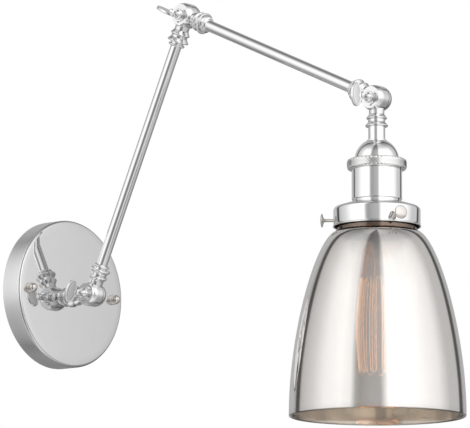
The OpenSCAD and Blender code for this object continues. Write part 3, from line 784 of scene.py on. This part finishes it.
def makePlate():
    p = plateSpec
    flat = p["radius"] - p["edge"]
    shoulder = p["depth"] - p["crown"] - p["edge"]
    outer = [(p["radius"], 0), (p["radius"], shoulder * 0.5)] + arc(flat, shoulder, p["edge"], 0, 88, 10)
    inner = [(p["radius"] - p["wall"], 0), (p["radius"] - p["wall"], shoulder * 0.5)]
    inner += arc(flat, shoulder, p["edge"] - p["wall"], 0, 88, 6)
    for i in range(1, 13):
        radius = flat * (1 - i / 12)
        rise = p["crown"] * (1 - (radius / flat) ** 2)
        outer.append((radius, p["depth"] - p["crown"] + rise))
        inner.append((radius, p["depth"] - p["crown"] - p["wall"] + rise))
    outline = outer + inner[::-1]
    plate = turnOutline("back_plate_pressed", [(r * mm, d * mm) for r, d in outline], 192)
    settle(plate, Matrix.Rotation(math.pi / 2, 4, "X"))
    drills = []
    for x, z, radius in ((0, -p["drop"], p["nippleHole"]), (p["studs"], 0, p["studHole"]),
                         (-p["studs"], 0, p["studHole"])):
        bpy.ops.mesh.primitive_cylinder_add(vertices=48, radius=radius * mm, depth=0.012, rotation=(math.pi / 2, 0, 0),
                                            location=(x * mm, -p["depth"] * mm, z * mm))
        drills.append(bpy.context.active_object)
    drill = joined("plateDrill", *drills)
    cut = plate.modifiers.new("holes", "BOOLEAN")
    cut.operation = "DIFFERENCE"
    cut.object = drill
    applyModifiers(plate)
    bpy.data.objects.remove(drill)
    smooth(plate, 30)
    # the face uses the chrome with painted shade
    paint(plate, finishes["plateChromeShaded"], finishes["satinChrome"])
    # the side wall and the hollow back are satin, the face is bright
    for face in plate.data.polygons:
        away = math.hypot(face.center.x, face.center.z)
        behind = face.normal.y > -0.2 and face.center.y > -(p["depth"] - p["crown"] - 0.1) * mm
        if away > (p["radius"] - 0.35) * mm or behind:
            face.material_index = 1
    finishPiece(plate, "wall_plate", "chrome", "back_plate")


capNutSpec = {"skirt": 4.0, "skirtHeight": 2.4, "dome": 3.5, "domeCentre": 3.1, "bore": 2.13, "boreDepth": 5.0}


def makeCapNuts():
    c = capNutSpec
    outline = [(c["bore"], 0.03), (c["skirt"] - 0.25, 0.03), (c["skirt"], 0.25), (c["skirt"], 1.1),
               (c["skirt"] - 0.2, 1.25),
               (c["skirt"], 1.4), (c["skirt"], c["skirtHeight"] - 0.3), (c["skirt"] - 0.2, c["skirtHeight"] - 0.05),
               (c["dome"] - 0.05, c["skirtHeight"])]
    outline += arc(0, c["domeCentre"], c["dome"], -6, 90, 14)
    outline += [(0, c["boreDepth"]), (c["bore"], c["boreDepth"])]
    master = turnOutline("capNutMaster", [(r * mm, d * mm) for r, d in outline], 48)
    seat = plateSpec["depth"] - plateSpec["crown"] * (plateSpec["studs"] / plateSpec["radius"]) ** 2
    outwards = Matrix.Rotation(math.pi / 2, 4, "X")
    pair = []
    for side in (-1, 1):
        nut = copyOf(master, "capNut")
        settle(nut, Matrix.Translation((side * plateSpec["studs"] * mm, -seat * mm, 0)) @ outwards)
        pair.append(nut)
    bpy.data.objects.remove(master)
    nuts = joined("cap_nuts_domed", *pair)
    paint(nuts, finishes["warm_nickel"])
    finishPiece(nuts, "wall_plate", "warm_nickel", "cap_nuts")


# ---------- thumb screws

thumbSpec = {"thread": 2.05, "threadEnd": 9.0, "seat": 8.8, "collar": 4.2, "collarHeight": 1.6, "shank": 2.8,
             "wingStart": 17.8, "wingLength": 10.8, "wingWidth": 17.6, "wingThick": 2.2, "rim": 0.6, "dish": 0.2,
             "turns": {"base": 18, "middle": 120, "end": 0}}


def makeThumbScrews():
    t = thumbSpec
    # the turned shaft, from the thread's end to its root in the wing
    outline = [(0, -t["threadEnd"]), (t["thread"] - 0.4, -t["threadEnd"]), (t["thread"], -t["threadEnd"] + 0.4),
               (t["thread"], t["seat"]), (t["collar"] - 0.15, t["seat"]), (t["collar"], t["seat"] + 0.2),
               (t["collar"], t["seat"] + t["collarHeight"] - 0.4), (t["collar"] - 0.3, t["seat"] + t["collarHeight"]),
               (t["shank"] + 0.4, t["seat"] + t["collarHeight"] + 0.1),
               (t["shank"] - 0.1, t["seat"] + t["collarHeight"] + 0.9),
               (t["shank"] - 0.45, t["seat"] + 4.2), (t["shank"] - 0.35, t["wingStart"] - 2.0),
               (t["shank"] + 0.1, t["wingStart"] - 0.4), (t["shank"] - 0.3, t["wingStart"] + 0.6),
               (t["shank"] - 1.4, t["wingStart"] + 1.1), (0, t["wingStart"] + 1.2)]
    shaft = turnOutline("thumbShaft", [(r * mm, d * mm) for r, d in outline], 40, closed=False)
    settle(shaft, Matrix.Rotation(-math.pi / 2, 4, "Y"))
    # the wing: an oval disc with a shallow dish on each side
    deselectAll()
    bpy.ops.mesh.primitive_cylinder_add(vertices=72, radius=1, depth=1)
    wing = bpy.context.active_object
    bpy.ops.transform.resize(value=(t["wingLength"] / 2 * mm, t["wingWidth"] / 2 * mm, t["wingThick"] * mm))
    bpy.ops.object.transform_apply(location=True, rotation=True, scale=True)
    edit(wing, "FACE")
    bpy.ops.mesh.select_all(action="DESELECT")
    leaveEdit()
    for face in wing.data.polygons:
        face.select = abs(face.normal.z) > 0.9
    bpy.ops.object.mode_set(mode="EDIT")
    bpy.ops.mesh.inset(thickness=t["rim"] * mm)
    bpy.ops.mesh.inset(thickness=0.5 * mm, depth=-t["dish"] * mm)
    bpy.ops.mesh.inset(thickness=0.9 * mm, depth=t["dish"] * 0.5 * mm)
    bpy.ops.mesh.inset(thickness=1.2 * mm, depth=t["dish"] * 0.2 * mm)
    leaveEdit()
    rimBevel = wing.modifiers.new("rim", "BEVEL")
    rimBevel.width = 0.42 * mm
    rimBevel.segments = 3
    rimBevel.limit_method = "ANGLE"
    rimBevel.angle_limit = math.radians(40)
    applyModifiers(wing)
    smooth(wing, 40)
    centre = t["wingStart"] + t["wingLength"] / 2
    settle(wing, Matrix.Translation((-centre * mm, 0, 0)) @ Matrix.Rotation(math.pi / 2, 4, "X"))
    master = joined("thumbScrewMaster", wing, shaft)
    for (name, degrees), point in zip(t["turns"].items(), (basePoint, middlePoint, endPoint)):
        screw = copyOf(master, name + "_wing_screw")
        settle(screw, Matrix.Translation(point) @ Matrix.Rotation(math.radians(degrees), 4, "X"))
        paint(screw, finishes["turnedChrome"])
        finishPiece(screw, name + "_screw", "chrome", name + "_thumb_screw")
    bpy.data.objects.remove(master)


# ---------- bulb

bulbSpec = {"radius": 18.5, "end": 212, "neck": 12.4, "neckTop": 78, "neckEnd": 86, "shoulder": 100, "wall": 0.8,
            "threads": 20, "cageTop": 134, "cageBottom": 198,
            "topRadius": 12.0, "midRadius": 15.2, "bottomRadius": 13.2,
            "turnHeight": 2.2, "threadRadius": 0.24, "hookRadius": 0.22}


# The filament's cage: it bows out in the middle. Depths are measured down from the end knuckle.
def cageRadius(depth):
    b = bulbSpec
    t = (depth - b["cageTop"]) / (b["cageBottom"] - b["cageTop"])
    straight = b["topRadius"] + (b["bottomRadius"] - b["topRadius"]) * t
    bow = b["midRadius"] - (b["topRadius"] + b["bottomRadius"]) / 2
    return straight + bow * math.sin(math.pi * min(max(t, 0), 1))


def cagePoint(degrees, depth):
    radius = cageRadius(depth)
    turn = math.radians(degrees)
    return (radius * math.cos(turn) * mm, radius * math.sin(turn) * mm, depth * mm)


def makeBulb():
    b = bulbSpec
    neck, shoulder = Vector((b["neck"], b["neckEnd"])), Vector((b["radius"], b["shoulder"]))
    bend = [mixCurve(neck, neck + Vector((0, 6)), shoulder - Vector((0, 7)), shoulder, i / 12) for i in range(13)]
    domeCentre = b["end"] - b["radius"]
    outline = [(b["neck"], b["neckTop"])] + [tuple(p) for p in bend]
    outline += arc(0, domeCentre, b["radius"], 0, 90, 20)
    outline += arc(0, domeCentre, b["radius"] - b["wall"], 90, 0, 20)
    outline += [(p.x - b["wall"], p.y) for p in reversed(bend)] + [(b["neck"] - b["wall"], b["neckTop"])]
    envelope = turnOutline("bulb_envelope", [(r * mm, d * mm) for r, d in outline], 80)
    paint(envelope, finishes["bulb_glass"])
    settle(envelope, headPlace)
    finishPiece(envelope, "bulb", "bulb_glass", "bulb_glass")

    # one thread runs down and up round the cage, and a hook holds it at each turn
    step = 360 / b["threads"]
    path, hooks = [], []
    for i in range(b["threads"]):
        down = i % 2 == 0
        first, last = (b["cageTop"], b["cageBottom"]) if down else (b["cageBottom"], b["cageTop"])
        path += [cagePoint(i * step, first + (last - first) * k / 8) for k in range(9)]
        if i < b["threads"] - 1:
            sign = 1 if down else -1
            for k in range(1, 6):
                swing = math.pi * k / 6
                depth = last + sign * b["turnHeight"] * math.sin(swing)
                path.append(cagePoint((i + 0.5 - 0.5 * math.cos(swing)) * step, depth))
            hooks.append(((i + 0.5) * step, last + sign * (b["turnHeight"] - 0.3)))
    thread = drawWire("filament_thread", path, b["threadRadius"] * mm, 1)
    paint(thread, finishes["filament"])
    settle(thread, headPlace)
    finishPiece(thread, "bulb", "filament", "filament")

    wires = []
    for degrees, depth in hooks:
        turn = math.radians(degrees)
        reach = cageRadius(depth) + 0.3
        spots = [(1.5, depth), (reach * 0.6, depth), (reach, depth)]
        points = [(r * math.cos(turn) * mm, r * math.sin(turn) * mm, d * mm) for r, d in spots]
        wires.append(drawWire("hookWire", points, b["hookRadius"] * mm, 0))
    supports = joined("bulb_hook_wires", *wires)
    paint(supports, finishes["bright_wire"])
    settle(supports, headPlace)
    finishPiece(supports, "bulb", "bright_wire", "bulb_hooks")

    leads = []
    for degrees, start in ((0, 180), (-step, 20), (100, 250), (190, 90)):
        turn, away = math.radians(degrees), math.radians(start)
        ends = [(3.0 * math.cos(away) * mm, 3.0 * math.sin(away) * mm, 105 * mm),
                (5.0 * math.cos(turn) * mm, 5.0 * math.sin(turn) * mm, 121 * mm), cagePoint(degrees, b["cageTop"])]
        leads.append(drawWire("leadWire", ends, 0.32 * mm, 1))
    pair = joined("bulb_lead_wires", *leads)
    paint(pair, finishes["bright_wire"])
    settle(pair, headPlace)
    finishPiece(pair, "bulb", "bright_wire", "bulb_leads")


# ---------- everything in order

print("camera and studio")
setCamera()
setStudio()
setFloor()
bpy.context.scene.view_settings.view_transform = "Standard"
print("finishes")
makeFinishes()
print("plate and knuckle screws")
makePlate()
makeCapNuts()
makeThumbScrews()
print("lamp head")
makeRing()
makeGallery()
makeGalleryScrews()
makeShade()
print("bulb")
makeBulb()
